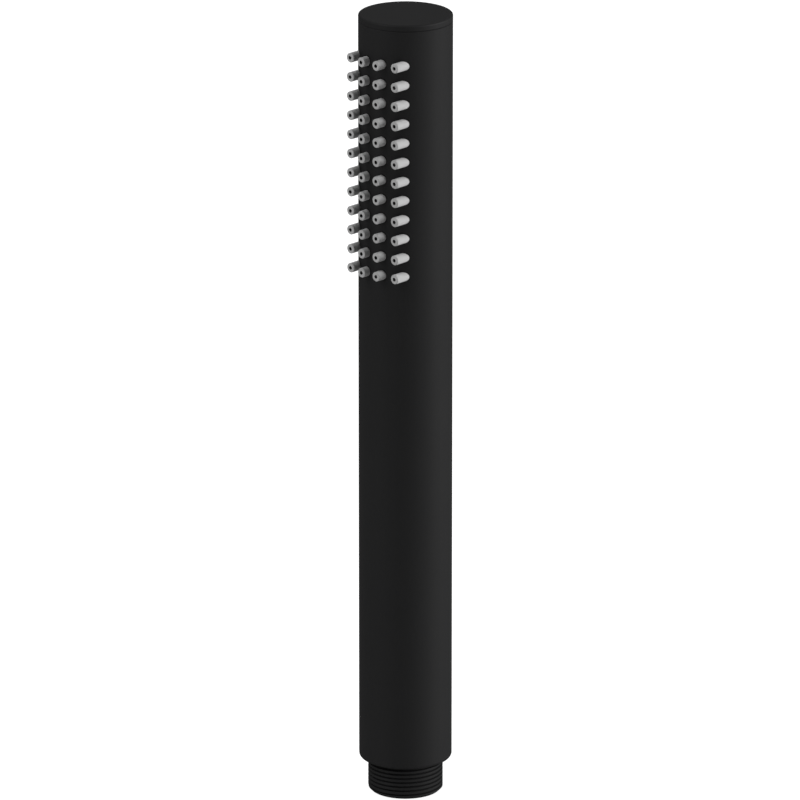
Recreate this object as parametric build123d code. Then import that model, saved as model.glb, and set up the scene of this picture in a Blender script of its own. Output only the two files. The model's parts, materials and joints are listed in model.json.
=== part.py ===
from build123d import *
import math
import os

# A slim stick hand shower in millimetres, +Z up. The origin is the centre of the inlet's
# lower end face, and the spray leaves towards -Y.

# Inlet nipple: G 1/2 male thread at its major diameter, with a stepped bore behind it
thread_diameter = 20.955
thread_length = 9.7
thread_chamfer = 0.75
thread_relief_width = 1.3
thread_relief_depth = 0.9
inlet_wall = 2.4775
inlet_depth = 5.0
cartridge_step = 0.6
cartridge_depth = 8.0
lip_width = 1.7
lip_height = 2.0
plug_length = 13.3
socket_wall = 2.15

# Body tube and top cap
shoulder_width = 2.5225
shoulder_radius = 1.0
body_length = 215.5
tube_wall = 1.2
end_wall = 2.0
bore_lead_in = 0.3
cap_thickness = 1.8
cap_edge_radius = 0.5
cap_spigot_length = 5.2
seam_chamfer = 0.15

# O-rings, squeezed between a groove's floor and the wall that they seal
seal_cord = 1.5
seal_squeeze = 0.2
groove_play = 0.47
groove_inset = 1.2

# Spray field: rows run down the tube, columns across it
row_count = 12
column_count = 4
row_pitch = 5.447
column_inset = 1.025
nozzle_diameter = 2.67
outlet_diameter = 1.05
feed_diameter = 1.7
middle_tip_reach = 2.0
outer_tip_reach = 0.5
tip_chamfer = 0.15

# Nozzle mat and spray core
mat_thickness = 1.3
mat_margin = 2.4
mat_side_angle = 12.0
core_wall = 1.3
core_top_wall = 2.0
core_head_land = 1.9
core_land_height = 3.0
core_spigot_length = 9.2
spigot_wall = 1.2
rib_width = 2.0
rib_angle = 40.0

# Flow regulator and inlet strainer
regulator_height = 4.0
regulator_wall = 2.15
hub_diameter = 4.4
spoke_count = 4
spoke_width = 1.4
spoke_height = 1.5
regulator_cord = 1.8
strainer_height = 1.6
strainer_plate = 0.8
strainer_wall = 0.8
strainer_hole = 1.2
strainer_pitch = 1.95
strainer_rings = 3

# Clearances
thread_passage = 0.1
plug_fit = 0.05
land_fit = 0.1
hole_fit = 0.06
mat_fit = 0.1
cartridge_fit = 0.05

# Radii from the axis outwards and inwards
thread_radius = thread_diameter / 2
tube_radius = thread_radius + shoulder_width
bore_radius = tube_radius - tube_wall
end_hole_radius = thread_radius + thread_passage
plug_radius = bore_radius - plug_fit
socket_radius = plug_radius - socket_wall
inlet_radius = thread_radius - inlet_wall
cartridge_radius = inlet_radius - cartridge_step
lip_radius = cartridge_radius - lip_width
core_radius = bore_radius - mat_thickness
core_bore_radius = core_radius - core_wall
land_radius = bore_radius - land_fit
spigot_radius = socket_radius - plug_fit
seal_height = seal_cord * (1 - seal_squeeze)
seal_spread = seal_height + math.pi / 4 * (seal_cord**2 - seal_height**2) / seal_height
groove_width = seal_spread + groove_play
bore_groove_radius = bore_radius - seal_height
socket_groove_radius = socket_radius - seal_height
nozzle_radius = nozzle_diameter / 2
feed_radius = feed_diameter / 2

# Heights from the inlet's end face upwards
end_wall_top = thread_length + end_wall
plug_top = end_wall_top + plug_length
lip_low = inlet_depth + cartridge_depth
socket_floor = lip_low + lip_height
cap_top = thread_length + body_length
seam = cap_top - cap_thickness
core_top = seam - cap_spigot_length
core_foot = plug_top - core_spigot_length
nipple_groove = end_wall_top + groove_inset
core_groove = core_foot + groove_inset
cap_groove = core_top + groove_inset
mat_high = core_top - core_head_land - mat_fit
first_row = mat_high - mat_margin
last_row = first_row - (row_count - 1) * row_pitch
mat_low = last_row - mat_margin
regulator_low = lip_low - regulator_height
strainer_low = regulator_low - strainer_height

# Places across the tube
outer_column = core_bore_radius - column_inset
column_pitch = 2 * outer_column / (column_count - 1)
spray_field = Plane((0, 0, (first_row + last_row) / 2), x_dir=(1, 0, 0), z_dir=(0, -1, 0))
all_nozzles = GridLocations(column_pitch, row_pitch, column_count, row_count)
middle_nozzles = GridLocations(column_pitch, row_pitch, column_count - 2, row_count)
outer_nozzles = GridLocations(2 * outer_column, row_pitch, 2, row_count)

ON_BASE = (Align.CENTER, Align.CENTER, Align.MIN)


def turned(*outline):
    """A solid turned about the Z axis from a closed outline of (radius, height) corners."""
    return revolve(Plane.XZ * make_face(Polyline(*outline, close=True)), Axis.Z)


def rod(radius, low, high):
    """A cylinder on the Z axis between two heights."""
    return Pos(0, 0, low) * Cylinder(radius, high - low, align=ON_BASE)


def ring(inner, outer, low, high):
    """A plain ring on the Z axis between two heights."""
    return rod(outer, low, high) - rod(inner, low, high)


def round_edge(solid, radius, height):
    """The circular edge of a turned solid that lies at a radius and a height."""
    circles = solid.edges().filter_by(GeomType.CIRCLE)
    return circles.sort_by(lambda edge: abs(edge.radius - radius) + abs(edge.arc_center.Z - height))[0]


def o_ring(floor_radius, wall_radius, groove_low):
    """An O-ring squeezed flat between its groove's floor and the wall, with the cord's area kept."""
    centre = Pos((floor_radius + wall_radius) / 2, groove_low + groove_width / 2)
    section = SlotOverall(seal_spread, seal_height, rotation=90)
    return revolve(Plane.XZ * centre * section, Axis.Z)


def spray_holes(radius):
    """Cutters along the spray for every nozzle, from the axis out through the front wall."""
    cutter = Cylinder(radius, 2 * tube_radius, align=ON_BASE)
    return [spray_field * place * cutter for place in all_nozzles]


def make_body_tube():
    """Brass tube with an inturned lower end that the nipple hangs through, drilled for the nozzles."""
    tube = turned(
        (end_hole_radius, thread_length),
        (tube_radius, thread_length),
        (tube_radius, seam),
        (bore_radius, seam),
        (bore_radius, end_wall_top),
        (end_hole_radius, end_wall_top),
    )
    tube = fillet(round_edge(tube, tube_radius, thread_length), shoulder_radius)
    tube = chamfer(round_edge(tube, tube_radius, seam), seam_chamfer)
    tube = chamfer(round_edge(tube, bore_radius, seam), bore_lead_in)
    return tube - spray_holes(nozzle_radius + hole_fit)


def make_top_cap():
    """Brass end cap: a disc flush with the tube on a grooved spigot that is pressed into its bore."""
    cap_bore_radius = bore_groove_radius - spigot_wall
    cap = turned(
        (0, seam),
        (cap_bore_radius, seam),
        (cap_bore_radius, core_top),
        (plug_radius, core_top),
        (plug_radius, seam),
        (tube_radius, seam),
        (tube_radius, cap_top),
        (0, cap_top),
    )
    cap = fillet(round_edge(cap, tube_radius, cap_top), cap_edge_radius)
    cap = chamfer(round_edge(cap, tube_radius, seam), seam_chamfer)
    return cap - ring(bore_groove_radius, tube_radius, cap_groove, cap_groove + groove_width)


def make_inlet_nipple():
    """Turned brass nipple, dropped in from above until its plug sits on the tube's end wall."""
    relief_low = thread_length - thread_relief_width
    relief_radius = thread_radius - thread_relief_depth
    nipple = turned(
        (inlet_radius, 0),
        (thread_radius - thread_chamfer, 0),
        (thread_radius, thread_chamfer),
        (thread_radius, relief_low),
        (relief_radius, relief_low),
        (relief_radius, thread_length),
        (thread_radius, thread_length),
        (thread_radius, end_wall_top),
        (plug_radius, end_wall_top),
        (plug_radius, plug_top),
        (socket_radius, plug_top),
        (socket_radius, socket_floor),
        (lip_radius, socket_floor),
        (lip_radius, lip_low),
        (cartridge_radius, lip_low),
        (cartridge_radius, inlet_depth),
        (inlet_radius, inlet_depth),
    )
    return nipple - ring(bore_groove_radius, tube_radius, nipple_groove, nipple_groove + groove_width)


def make_spray_core():
    """Moulded waterway: a spigot in the nipple, a closed barrel, and a feed hole behind each nozzle."""
    spigot_bore = socket_groove_radius - spigot_wall
    funnel_top = plug_top + core_bore_radius - spigot_bore
    core = turned(
        (spigot_bore, core_foot),
        (spigot_radius, core_foot),
        (spigot_radius, plug_top),
        (core_radius, plug_top),
        (core_radius, core_top),
        (0, core_top),
        (0, core_top - core_top_wall),
        (core_bore_radius, core_top - core_top_wall),
        (core_bore_radius, funnel_top),
        (spigot_bore, plug_top),
    )
    mat_stop = mat_low - mat_fit
    lands = [
        ring(core_bore_radius, land_radius, core_top - core_head_land, core_top),
        ring(core_bore_radius, land_radius, mat_stop - core_land_height, mat_stop),
        ring(core_bore_radius, land_radius, funnel_top, funnel_top + core_land_height),
    ]
    core = core + lands + make_rear_ribs()
    core = core - ring(socket_groove_radius, socket_radius, core_groove, core_groove + groove_width)
    return core - spray_holes(feed_radius)


def make_rear_ribs():
    """Two ribs along the core's back that keep it pressed forward on the nozzle mat."""
    shell = ring(core_bore_radius, land_radius, mat_low, mat_high)
    from_axis = (Align.CENTER, Align.MIN, Align.MIN)
    bar = Pos(0, 0, mat_low) * Box(rib_width, tube_radius, mat_high - mat_low, align=from_axis)
    return [shell & (Rot(0, 0, side * rib_angle) * bar) for side in (-1, 1)]


def nozzle(tip):
    """A straight nozzle along local Z, from the axis to its chamfered tip."""
    stem = Cylinder(nozzle_radius, tip, align=ON_BASE)
    return chamfer(stem.edges().sort_by(Axis.Z)[-1], tip_chamfer)


def nozzle_bore(tip):
    """The tapered waterway of a nozzle, from its feed hole's size to its outlet's size at the tip."""
    return Cone(feed_radius, outlet_diameter / 2, tip, align=ON_BASE)


def make_nozzle_mat():
    """One silicone moulding: a curved strip between core and tube, with every nozzle standing on it."""
    half_angle = math.degrees(math.asin((outer_column + nozzle_radius) / bore_radius)) + mat_side_angle
    strip = Cylinder(bore_radius, mat_high - mat_low, arc_size=2 * half_angle, align=None)
    strip = Pos(0, 0, mat_low) * Rot(0, 0, -90 - half_angle) * strip
    nozzles = []
    bores = []
    for places, reach in ((middle_nozzles, middle_tip_reach), (outer_nozzles, outer_tip_reach)):
        tip = tube_radius + reach
        nozzles += [spray_field * place * nozzle(tip) for place in places]
        bores += [spray_field * place * nozzle_bore(tip) for place in places]
    return (strip + nozzles) - [rod(core_radius, mat_low, mat_high)] - bores


def make_flow_regulator():
    """Moulded carrier: an outer ring and a hub joined by spokes, pushed up against the nipple's lip."""
    outer = cartridge_radius - cartridge_fit
    inner = outer - regulator_wall
    under_lip = (Align.MIN, Align.CENTER, Align.MAX)
    spoke = Pos(0, 0, lip_low) * Box(outer - regulator_wall / 2, spoke_width, spoke_height, align=under_lip)
    spokes = [Rot(0, 0, index * 360 / spoke_count) * spoke for index in range(spoke_count)]
    hub = rod(hub_diameter / 2, regulator_low, lip_low)
    return ring(inner, outer, regulator_low, lip_low) + [hub] + spokes


def make_regulator_ring():
    """The elastomer ring that grips the hub below the spokes and throttles the flow under pressure."""
    centre = hub_diameter / 2 + regulator_cord / 2
    return Pos(0, 0, lip_low - spoke_height - regulator_cord / 2) * Torus(centre, regulator_cord / 2)


def make_inlet_strainer():
    """Moulded cup with a perforated plate, facing the hose below the regulator."""
    outer = cartridge_radius - cartridge_fit
    strainer = rod(outer, strainer_low, regulator_low)
    strainer = strainer - rod(outer - strainer_wall, strainer_low + strainer_plate, regulator_low)
    cutter = Pos(0, 0, strainer_low) * Cylinder(strainer_hole / 2, strainer_height, align=ON_BASE)
    holes = [cutter]
    for circle in range(1, strainer_rings + 1):
        holes += [place * cutter for place in PolarLocations(circle * strainer_pitch, 6 * circle)]
    return strainer - holes


nodes = {
    "body_tube": make_body_tube(),
    "top_cap": make_top_cap(),
    "cap_seal": o_ring(bore_groove_radius, bore_radius, cap_groove),
    "nozzle_mat": make_nozzle_mat(),
    "spray_core": make_spray_core(),
    "core_seal": o_ring(socket_groove_radius, socket_radius, core_groove),
    "inlet_nipple": make_inlet_nipple(),
    "nipple_seal": o_ring(bore_groove_radius, bore_radius, nipple_groove),
    "flow_regulator": make_flow_regulator(),
    "regulator_ring": make_regulator_ring(),
    "inlet_strainer": make_inlet_strainer(),
}

os.makedirs("parts", exist_ok=True)
for name, solid in nodes.items():
    export_step(solid, f"parts/{name}.step")
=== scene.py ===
import bmesh
import bpy
import json
import math
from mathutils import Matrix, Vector


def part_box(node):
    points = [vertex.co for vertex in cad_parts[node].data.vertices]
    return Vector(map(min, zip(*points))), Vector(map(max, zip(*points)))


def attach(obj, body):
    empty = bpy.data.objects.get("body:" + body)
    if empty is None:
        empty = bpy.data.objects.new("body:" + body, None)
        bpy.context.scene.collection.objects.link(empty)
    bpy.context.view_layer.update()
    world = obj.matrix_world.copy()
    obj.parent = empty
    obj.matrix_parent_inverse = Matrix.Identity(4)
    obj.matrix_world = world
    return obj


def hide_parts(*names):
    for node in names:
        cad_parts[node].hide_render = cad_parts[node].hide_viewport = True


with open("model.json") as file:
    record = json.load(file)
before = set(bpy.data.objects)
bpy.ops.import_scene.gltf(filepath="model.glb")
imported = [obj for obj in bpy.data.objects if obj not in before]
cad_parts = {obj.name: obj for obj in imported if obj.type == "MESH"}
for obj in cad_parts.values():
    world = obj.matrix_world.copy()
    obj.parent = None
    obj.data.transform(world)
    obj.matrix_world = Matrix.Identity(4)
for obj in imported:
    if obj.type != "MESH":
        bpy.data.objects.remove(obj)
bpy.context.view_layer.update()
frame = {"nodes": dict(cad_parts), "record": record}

# Inlet nipple. Turned from brass bar, and coated matte black like the tube that it hangs in.
# The bar is first turned to its outline, with a stepped bore for the cartridge and a grooved plug.
# A right-hand hose thread is then cut into it, from the end chamfer up into the relief.
MM = 0.001
TURNED_STEPS = 192
MERGE_DISTANCE = 0.001 * MM
SHARP_ANGLE = math.radians(40)
mounts = {mount["name"]: mount["dims"] for mount in frame["record"]["mounts"]}
thread_radius = mounts["hose_thread"]["r_mm"] * MM
THREAD_PITCH = 1.22 * MM
THREAD_DEPTH = 0.65 * MM
THREAD_START = 0.63
CREST_SHARE = 0.45
ROWS_PER_PITCH = 32
END_CHAMFER = 0.75 * MM
RELIEF_WIDTH = 1.3 * MM
RELIEF_DEPTH = 0.9 * MM
END_WALL = 2.0 * MM
LIP_WIDTH = 1.7 * MM
LIP_HEIGHT = 2.0 * MM
CARTRIDGE_FIT = 0.05 * MM
SEAL_GROOVE_WIDTH = 2.2 * MM
SEAL_GROOVE_DEPTH = 1.15 * MM
inlet_radius = mounts["inlet_bore"]["r_mm"] * MM
inlet_depth = mounts["inlet_bore"]["length_mm"] * MM
thread_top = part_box("body_tube")[0].z
plug_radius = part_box("inlet_nipple")[1].x
plug_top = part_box("inlet_nipple")[1].z
seat_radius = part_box("flow_regulator")[1].x + CARTRIDGE_FIT
lip_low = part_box("flow_regulator")[1].z
socket_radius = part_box("core_seal")[1].x
nipple_seal_middle = (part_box("nipple_seal")[0].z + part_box("nipple_seal")[1].z) / 2


def link(tree, *pairs):
    """Joins output sockets to input sockets in a node tree."""
    for source, target in pairs:
        tree.links.new(source, target)


def calc(tree, operation, *values):
    """Adds a Math node whose inputs are numbers or other nodes' outputs, and returns its result."""
    node = tree.nodes.new("ShaderNodeMath")
    node.operation = operation
    for socket, value in zip(node.inputs, values):
        if isinstance(value, (int, float)):
            socket.default_value = value
        else:
            tree.links.new(value, socket)
    return node.outputs[0]


def hypotenuse(tree, across, along):
    """The distance that two lengths at right angles make."""
    across_square = calc(tree, "MULTIPLY", across, across)
    along_square = calc(tree, "MULTIPLY", along, along)
    return calc(tree, "SQRT", calc(tree, "ADD", across_square, along_square))


def add_sockets(tree, in_out, **kinds):
    """Adds named sockets to a node group's interface, with underscores in their names as spaces."""
    for name, kind in kinds.items():
        label = name.replace("_", " ")
        tree.interface.new_socket(name=label, in_out=in_out, socket_type="NodeSocket" + kind)


def turned_mesh(name, outline):
    """A ring-shaped solid turned about Z from a closed outline of (radius, height) corners."""
    bm = bmesh.new()
    corners = [bm.verts.new((radius, 0, height)) for radius, height in outline]
    edges = [bm.edges.new((corners[index - 1], corners[index])) for index in range(len(corners))]
    bmesh.ops.spin(bm, geom=corners + edges, cent=(0, 0, 0), axis=(0, 0, 1),
                   angle=math.tau, steps=TURNED_STEPS, use_duplicate=False)
    bmesh.ops.remove_doubles(bm, verts=bm.verts, dist=MERGE_DISTANCE)
    bmesh.ops.recalc_face_normals(bm, faces=bm.faces)
    mesh = bpy.data.meshes.new(name)
    bm.to_mesh(mesh)
    bm.free()
    return mesh


def thread_cutter():
    """Geometry Nodes tree that cuts a right-hand thread into a bar about Z, as a lathe's tool would."""
    half_pitch = 0.5
    tree = bpy.data.node_groups.new("Thread cutter", "GeometryNodeTree")
    add_sockets(tree, "INPUT", Bar="Geometry", Crest_radius="Float", Pitch="Float", Depth="Float",
                Start_turn="Float", Crest_share="Float", Top="Float", Finish="Material")
    add_sockets(tree, "OUTPUT", Threaded_bar="Geometry")
    sizes = tree.nodes.new("NodeGroupInput").outputs
    corner = tree.nodes.new("ShaderNodeSeparateXYZ")
    link(tree, (tree.nodes.new("GeometryNodeInputPosition").outputs["Position"], corner.inputs["Vector"]))
    x, y, z = corner.outputs
    turn = calc(tree, "DIVIDE", calc(tree, "ARCTAN2", y, x), math.tau)
    pitches = calc(tree, "SUBTRACT", calc(tree, "DIVIDE", z, sizes["Pitch"]), sizes["Start turn"])
    from_crest = calc(tree, "PINGPONG", calc(tree, "SUBTRACT", pitches, turn), half_pitch)
    flank = tree.nodes.new("ShaderNodeMapRange")
    flank.interpolation_type = "SMOOTHSTEP"
    flank.inputs["From Max"].default_value = half_pitch
    half_crest = calc(tree, "MULTIPLY", sizes["Crest share"], half_pitch)
    link(tree, (from_crest, flank.inputs["Value"]), (half_crest, flank.inputs["From Min"]))
    groove = calc(tree, "MULTIPLY", flank.outputs["Result"], sizes["Depth"])
    reach = calc(tree, "SUBTRACT", sizes["Crest radius"], groove)
    share = calc(tree, "MINIMUM", calc(tree, "DIVIDE", reach, hypotenuse(tree, x, y)), 1.0)
    cut_corner = tree.nodes.new("ShaderNodeCombineXYZ")
    cut = tree.nodes.new("GeometryNodeSetPosition")
    solid = tree.nodes.new("GeometryNodeRealizeInstances")
    finish = tree.nodes.new("GeometryNodeSetMaterial")
    link(tree, (calc(tree, "MULTIPLY", x, share), cut_corner.inputs["X"]),
         (calc(tree, "MULTIPLY", y, share), cut_corner.inputs["Y"]),
         (z, cut_corner.inputs["Z"]),
         (sizes["Bar"], cut.inputs["Geometry"]),
         (cut_corner.outputs["Vector"], cut.inputs["Position"]),
         (calc(tree, "LESS_THAN", z, sizes["Top"]), cut.inputs["Selection"]),
         (cut.outputs["Geometry"], solid.inputs["Geometry"]),
         (solid.outputs["Geometry"], finish.inputs["Geometry"]),
         (sizes["Finish"], finish.inputs["Material"]),
         (finish.outputs["Geometry"], tree.nodes.new("NodeGroupOutput").inputs["Threaded bar"]))
    return tree


def worked_mesh(mesh, tree, **values):
    """Runs a mesh through a Geometry Nodes tree with named inputs, and returns a plain mesh."""
    blank = bpy.data.objects.new(mesh.name, mesh)
    bpy.context.scene.collection.objects.link(blank)
    modifier = blank.modifiers.new(tree.name, "NODES")
    modifier.node_group = tree
    for item in tree.interface.items_tree:
        label = item.name.replace(" ", "_")
        if label in values:
            modifier[item.identifier] = values[label]
    evaluated = blank.evaluated_get(bpy.context.evaluated_depsgraph_get())
    result = bpy.data.meshes.new_from_object(evaluated)
    bpy.data.objects.remove(blank)
    return result


def grain_group():
    """Shader group for a fine-grained surface: a height for bump, and a slow cloud for colour and gloss."""
    group = bpy.data.node_groups.new("Fine grain", "ShaderNodeTree")
    add_sockets(group, "INPUT", Grain_size="Float", Cloud_size="Float")
    add_sockets(group, "OUTPUT", Height="Float", Cloud="Float")
    sizes = group.nodes.new("NodeGroupInput").outputs
    results = group.nodes.new("NodeGroupOutput").inputs
    place = group.nodes.new("ShaderNodeTexCoord").outputs["Object"]
    for size, result in (("Grain size", "Height"), ("Cloud size", "Cloud")):
        noise = group.nodes.new("ShaderNodeTexNoise")
        scale = calc(group, "DIVIDE", 1.0, sizes[size])
        link(group, (place, noise.inputs["Vector"]), (scale, noise.inputs["Scale"]),
             (noise.outputs["Fac"], results[result]))
    return group


fine_grain = grain_group()
CLOUD_LOW = 0.3
CLOUD_HIGH = 0.7


def grained_material(name, dark, light, gloss, specular, grain_size, grain_height, cloud_size):
    """A fine-grained finish: colour and roughness drift with a slow cloud, and the bump follows the grain."""
    material = bpy.data.materials.new(name)
    material.use_nodes = True
    tree = material.node_tree
    surface = tree.nodes["Principled BSDF"]
    surface.inputs["Specular IOR Level"].default_value = specular
    grain = tree.nodes.new("ShaderNodeGroup")
    grain.node_tree = fine_grain
    grain.inputs["Grain size"].default_value = grain_size
    grain.inputs["Cloud size"].default_value = cloud_size
    colour = tree.nodes.new("ShaderNodeMix")
    colour.data_type = "RGBA"
    colour.inputs["A"].default_value = (*dark, 1.0)
    colour.inputs["B"].default_value = (*light, 1.0)
    roughness = tree.nodes.new("ShaderNodeMapRange")
    roughness.inputs["From Min"].default_value = CLOUD_LOW
    roughness.inputs["From Max"].default_value = CLOUD_HIGH
    roughness.inputs["To Min"].default_value = gloss[0]
    roughness.inputs["To Max"].default_value = gloss[1]
    bump = tree.nodes.new("ShaderNodeBump")
    bump.inputs["Distance"].default_value = grain_height
    link(tree, (grain.outputs["Cloud"], colour.inputs["Factor"]),
         (colour.outputs["Result"], surface.inputs["Base Color"]),
         (grain.outputs["Cloud"], roughness.inputs["Value"]),
         (roughness.outputs["Result"], surface.inputs["Roughness"]),
         (grain.outputs["Height"], bump.inputs["Height"]),
         (bump.outputs["Normal"], surface.inputs["Normal"]))
    return material


SKIN_WEIGHT = 0.05
SKIN_ROUGHNESS = 0.6
SKIN_IOR = 2.2
black_coating = grained_material(
    "black_coating", dark=(0.0068, 0.0068, 0.007), light=(0.0078, 0.0078, 0.008), gloss=(0.57, 0.63),
    specular=0.0, grain_size=0.12 * MM, grain_height=0.002 * MM, cloud_size=9 * MM)
hard_skin = black_coating.node_tree.nodes["Principled BSDF"].inputs
hard_skin["Coat Weight"].default_value = SKIN_WEIGHT
hard_skin["Coat Roughness"].default_value = SKIN_ROUGHNESS
hard_skin["Coat IOR"].default_value = SKIN_IOR

relief_low = thread_top - RELIEF_WIDTH
row_height = THREAD_PITCH / ROWS_PER_PITCH
chamfer_rows = math.ceil(END_CHAMFER / row_height)
chamfer_steps = [END_CHAMFER * row / chamfer_rows for row in range(chamfer_rows)]
cut_length = relief_low - END_CHAMFER
thread_rows = math.ceil(cut_length / row_height)
thread_heights = [END_CHAMFER + cut_length * row / thread_rows for row in range(thread_rows + 1)]
groove_floor = plug_radius - SEAL_GROOVE_DEPTH
nipple_outline = [
    (inlet_radius, 0),
    *[(thread_radius - END_CHAMFER + height, height) for height in chamfer_steps],
    *[(thread_radius, height) for height in thread_heights],
    (thread_radius - RELIEF_DEPTH, relief_low),
    (thread_radius - RELIEF_DEPTH, thread_top),
    (thread_radius, thread_top),
    (thread_radius, thread_top + END_WALL),
    (plug_radius, thread_top + END_WALL),
    (plug_radius, nipple_seal_middle - SEAL_GROOVE_WIDTH / 2),
    (groove_floor, nipple_seal_middle - SEAL_GROOVE_WIDTH / 2),
    (groove_floor, nipple_seal_middle + SEAL_GROOVE_WIDTH / 2),
    (plug_radius, nipple_seal_middle + SEAL_GROOVE_WIDTH / 2),
    (plug_radius, plug_top),
    (socket_radius, plug_top),
    (socket_radius, lip_low + LIP_HEIGHT),
    (seat_radius - LIP_WIDTH, lip_low + LIP_HEIGHT),
    (seat_radius - LIP_WIDTH, lip_low),
    (seat_radius, lip_low),
    (seat_radius, inlet_depth),
    (inlet_radius, inlet_depth),
]
nipple_mesh = worked_mesh(
    turned_mesh("threaded_nipple", nipple_outline), thread_cutter(),
    Crest_radius=thread_radius, Pitch=THREAD_PITCH, Depth=THREAD_DEPTH, Start_turn=THREAD_START,
    Crest_share=CREST_SHARE, Top=(relief_low + thread_top) / 2, Finish=black_coating)
nipple_mesh.shade_smooth()
nipple_mesh.set_sharp_from_angle(angle=SHARP_ANGLE)
threaded_nipple = bpy.data.objects.new("threaded_nipple", nipple_mesh)
bpy.context.scene.collection.objects.link(threaded_nipple)
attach(threaded_nipple, "root")
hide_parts("inlet_nipple")

# Inlet cartridge. A moulded strainer cup, a spoked regulator and its elastomer ring.
# They are pushed into the nipple's bore from below, and the strainer shows inside the mouth.
nodes = frame["nodes"]
nodes["inlet_strainer"].data.materials[0] = grained_material(
    "strainer_plastic", dark=(0.5, 0.5, 0.49), light=(0.6, 0.6, 0.59), gloss=(0.38, 0.5),
    specular=0.5, grain_size=0.15 * MM, grain_height=0.004 * MM, cloud_size=4 * MM)
nodes["flow_regulator"].data.materials[0] = grained_material(
    "regulator_plastic", dark=(0.56, 0.56, 0.54), light=(0.64, 0.64, 0.62), gloss=(0.35, 0.45),
    specular=0.5, grain_size=0.15 * MM, grain_height=0.004 * MM, cloud_size=4 * MM)
nodes["regulator_ring"].data.materials[0] = grained_material(
    "regulator_rubber", dark=(0.025, 0.025, 0.025), light=(0.035, 0.035, 0.035), gloss=(0.45, 0.6),
    specular=0.4, grain_size=0.1 * MM, grain_height=0.003 * MM, cloud_size=2 * MM)

# Seals. Black rubber O-rings, squeezed in the grooves of the nipple's plug, the core and the cap.
# They are moulded rings with a satin skin, hidden once the shower is together.
seal_rubber = grained_material(
    "seal_rubber", dark=(0.016, 0.016, 0.016), light=(0.024, 0.024, 0.024), gloss=(0.4, 0.55),
    specular=0.4, grain_size=0.1 * MM, grain_height=0.003 * MM, cloud_size=3 * MM)
for seal in ("nipple_seal", "core_seal", "cap_seal"):
    nodes[seal].data.materials[0] = seal_rubber

# Spray core. The waterway, moulded in dark plastic, from the nipple's socket up to the closed top.
# A feed hole stands behind each nozzle, and ribs on its back press it forward on the mat.
nodes["spray_core"].data.materials[0] = grained_material(
    "waterway_plastic", dark=(0.045, 0.045, 0.047), light=(0.055, 0.055, 0.057), gloss=(0.4, 0.52),
    specular=0.5, grain_size=0.2 * MM, grain_height=0.006 * MM, cloud_size=8 * MM)

# Nozzle mat. One moulding in grey silicone: a curved strip inside the tube with every nozzle on it.
# The nozzles are pushed out through the tube's holes, and the dark inside their bores is painted shade.
COLUMN_PITCH = 5.45 * MM
ROW_PITCH = 5.447 * MM
WIDEST_BORE = 0.7 * MM
WALL_SLOPE = 0.5
# Near-black colour of the painted shade inside the nozzles' bores.
BORE_SHADE_COLOUR = (0.02, 0.02, 0.02, 1.0)
mat_low, mat_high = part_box("nozzle_mat")


def from_middle(tree, place, pitch):
    """How far a place is from the nearest middle, of an even number of pitches about zero."""
    share = calc(tree, "SUBTRACT", calc(tree, "FRACT", calc(tree, "DIVIDE", place, pitch)), 0.5)
    return calc(tree, "MULTIPLY", share, pitch)


def paint_bore_shade(material, field_middle):
    """Paints shade on the bores' walls, which lie close round the nozzles' axes and face across the spray."""
    tree = material.node_tree
    base_colour = tree.nodes["Principled BSDF"].inputs["Base Color"]
    place = tree.nodes.new("ShaderNodeSeparateXYZ")
    slope = tree.nodes.new("ShaderNodeSeparateXYZ")
    link(tree, (tree.nodes.new("ShaderNodeTexCoord").outputs["Object"], place.inputs["Vector"]),
         (tree.nodes.new("ShaderNodeNewGeometry").outputs["Normal"], slope.inputs["Vector"]))
    height = calc(tree, "SUBTRACT", place.outputs["Z"], field_middle)
    off_axis = hypotenuse(tree, from_middle(tree, place.outputs["X"], COLUMN_PITCH),
                          from_middle(tree, height, ROW_PITCH))
    across_spray = calc(tree, "LESS_THAN", calc(tree, "ABSOLUTE", slope.outputs["Y"]), WALL_SLOPE)
    bore_shade_mask = calc(tree, "MULTIPLY", calc(tree, "LESS_THAN", off_axis, WIDEST_BORE), across_spray)
    # Painted shade: the silicone's colour is mixed to near black on the bores' walls, where shade falls.
    bore_shade_mix = tree.nodes.new("ShaderNodeMix")
    bore_shade_mix.data_type = "RGBA"
    bore_shade_mix.inputs["B"].default_value = BORE_SHADE_COLOUR
    link(tree, (bore_shade_mask, bore_shade_mix.inputs["Factor"]),
         (base_colour.links[0].from_socket, bore_shade_mix.inputs["A"]),
         (bore_shade_mix.outputs["Result"], base_colour))


grey_silicone = grained_material(
    "grey_silicone", dark=(0.28, 0.28, 0.28), light=(0.32, 0.32, 0.32), gloss=(0.75, 0.85),
    specular=0.3, grain_size=0.08 * MM, grain_height=0.003 * MM, cloud_size=2 * MM)
# The nozzles' bores get painted shade, near black round each nozzle's axis.
paint_bore_shade(grey_silicone, field_middle=(mat_low.z + mat_high.z) / 2)
nodes["nozzle_mat"].data.materials[0] = grey_silicone

# Body tube and top cap. A brass tube, inturned at its lower end and drilled for the nozzles.
# The turned cap is pressed in flush, so only a fine seam shows, and both have the nipple's coating.
for shell in ("body_tube", "top_cap"):
    nodes[shell].data.materials[0] = black_coating

# Studio. A sheet of white paper, lit by softboxes at both sides, in front and behind.
# A long lens looks at the object from a little above, and from the right of its spray.
# Angles here are in degrees and lengths in metres.
CAMERA_TURN = 42.6
CAMERA_RISE = 17.91
CAMERA_DISTANCE = 2.317
AIM_HEIGHT = 0.11426
AIM_LEFT = 0.001525
LENS = 376.37
VIEW_DEPTH = 20.0


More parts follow.
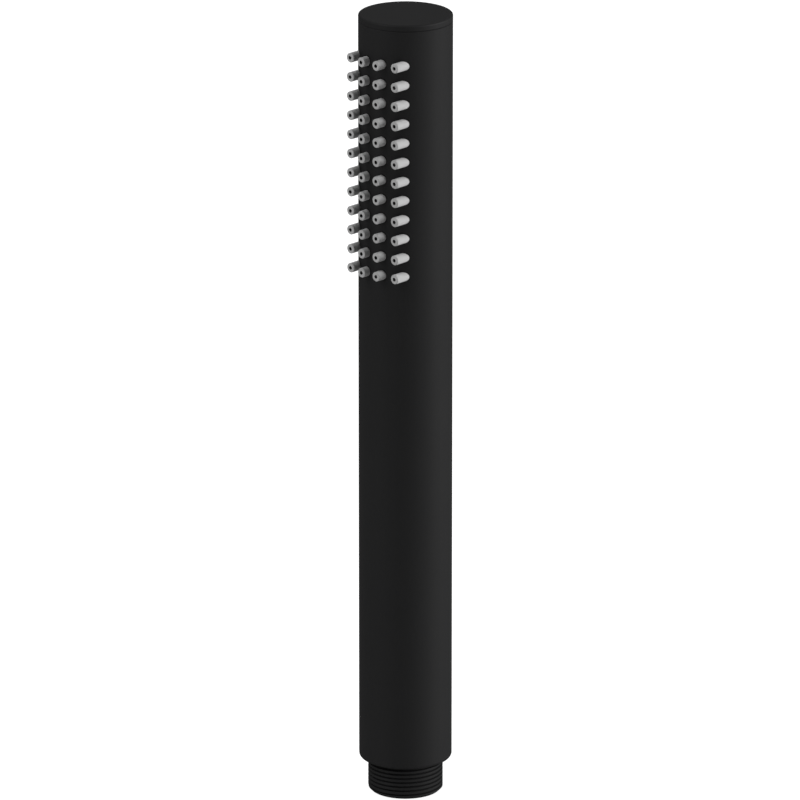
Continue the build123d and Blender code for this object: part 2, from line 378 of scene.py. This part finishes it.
def from_view(side, rise, distance):
    """A point round the axis, its side angle counted from the camera's direction, positive to the right."""
    turn = math.radians(CAMERA_TURN + side)
    level = distance * math.cos(math.radians(rise))
    height = AIM_HEIGHT + distance * math.sin(math.radians(rise))
    return Vector((level * math.sin(turn), -level * math.cos(turn), height))


def facing(place, target):
    """The turn that points a lamp or a camera at a place from another."""
    return (target - place).to_track_quat("-Z", "Y").to_euler()


def softbox(name, side, rise, distance, width, height, power):
    """A rectangular studio light that faces the middle of the object."""
    light = bpy.data.lights.new(name, "AREA")
    light.shape = "RECTANGLE"
    light.size = width
    light.size_y = height
    light.energy = power
    lamp = bpy.data.objects.new(name, light)
    lamp.location = from_view(side, rise, distance)
    lamp.rotation_euler = facing(lamp.location, Vector((0, 0, AIM_HEIGHT)))
    bpy.context.scene.collection.objects.link(lamp)


softbox("left_softbox", side=-57, rise=15, distance=3.0, width=1.5, height=1.7, power=23.2)
softbox("front_softbox", side=-70, rise=50, distance=3.0, width=1.8, height=1.8, power=57.2)
softbox("right_softbox", side=85, rise=12, distance=4.0, width=2.0, height=1.8, power=283)
softbox("back_softbox", side=180, rise=40, distance=3.0, width=1.8, height=1.8, power=19.2)

camera = bpy.data.objects.new("camera", bpy.data.cameras.new("camera"))
camera.data.lens = LENS
camera.data.clip_end = VIEW_DEPTH
view_turn = math.radians(CAMERA_TURN)
aim_offset = Vector((math.cos(view_turn), math.sin(view_turn), 0)) * AIM_LEFT
camera.location = from_view(0, CAMERA_RISE, CAMERA_DISTANCE) - aim_offset
camera.rotation_euler = facing(camera.location, Vector((0, 0, AIM_HEIGHT)) - aim_offset)
bpy.context.scene.collection.objects.link(camera)
bpy.context.scene.camera = camera

FLOOR_HALF = 6.0
FLOOR_GAP = 0.05 * MM
PAPER_COLOUR = (0.3, 0.3, 0.3, 1.0)
PAPER_GLOW = 0.88
BOUNCE_COLOUR = (0.6, 0.6, 0.6, 1.0)
SURROUND_COLOUR = (1.0, 1.0, 1.0, 1.0)
SURROUND_LIGHT = 0.05


def seen_directly(tree):
    """1 for rays from the camera, a reflection or glass, and 0 for light that bounces diffusely."""
    rays = tree.nodes.new("ShaderNodeLightPath").outputs
    reflected = calc(tree, "MAXIMUM", rays["Is Camera Ray"], rays["Is Glossy Ray"])
    return calc(tree, "MAXIMUM", reflected, rays["Is Transmission Ray"])


def white_paper():
    """Paper that shows white, lights the object softly, keeps its shadow, and is clear from below."""
    material = bpy.data.materials.new("floor_paper")
    material.use_nodes = True
    tree = material.node_tree
    tree.nodes.clear()
    matte = tree.nodes.new("ShaderNodeBsdfDiffuse")
    matte.inputs["Color"].default_value = PAPER_COLOUR
    glow = tree.nodes.new("ShaderNodeEmission")
    glow.inputs["Strength"].default_value = PAPER_GLOW
    shown = tree.nodes.new("ShaderNodeAddShader")
    bounce = tree.nodes.new("ShaderNodeBsdfDiffuse")
    bounce.inputs["Color"].default_value = BOUNCE_COLOUR
    upper = tree.nodes.new("ShaderNodeMixShader")
    clear = tree.nodes.new("ShaderNodeBsdfTransparent")
    sheet = tree.nodes.new("ShaderNodeMixShader")
    from_below = tree.nodes.new("ShaderNodeNewGeometry").outputs["Backfacing"]
    output = tree.nodes.new("ShaderNodeOutputMaterial")
    link(tree, (matte.outputs[0], shown.inputs[0]), (glow.outputs[0], shown.inputs[1]),
         (seen_directly(tree), upper.inputs[0]),
         (bounce.outputs[0], upper.inputs[1]), (shown.outputs[0], upper.inputs[2]),
         (from_below, sheet.inputs[0]),
         (upper.outputs[0], sheet.inputs[1]), (clear.outputs[0], sheet.inputs[2]),
         (sheet.outputs[0], output.inputs["Surface"]))
    return material


def pale_surround():
    """A world that is white where it is seen, and dim as a light."""
    world = bpy.data.worlds.new("studio")
    world.use_nodes = True
    tree = world.node_tree
    surround = tree.nodes["Background"].inputs
    surround["Color"].default_value = SURROUND_COLOUR
    strength = tree.nodes.new("ShaderNodeMapRange")
    strength.inputs["To Min"].default_value = SURROUND_LIGHT
    link(tree, (seen_directly(tree), strength.inputs["Value"]),
         (strength.outputs["Result"], surround["Strength"]))
    return world


floor_mesh = bpy.data.meshes.new("floor")
floor_corners = [(x * FLOOR_HALF, y * FLOOR_HALF, -FLOOR_GAP)
                 for x, y in ((-1, -1), (1, -1), (1, 1), (-1, 1))]
floor_mesh.from_pydata(floor_corners, [], [(0, 1, 2, 3)])
floor_mesh.materials.append(white_paper())
floor = bpy.data.objects.new("floor", floor_mesh)
bpy.context.scene.collection.objects.link(floor)

bpy.context.scene.world = pale_surround()
bpy.context.scene.view_settings.view_transform = "Standard"
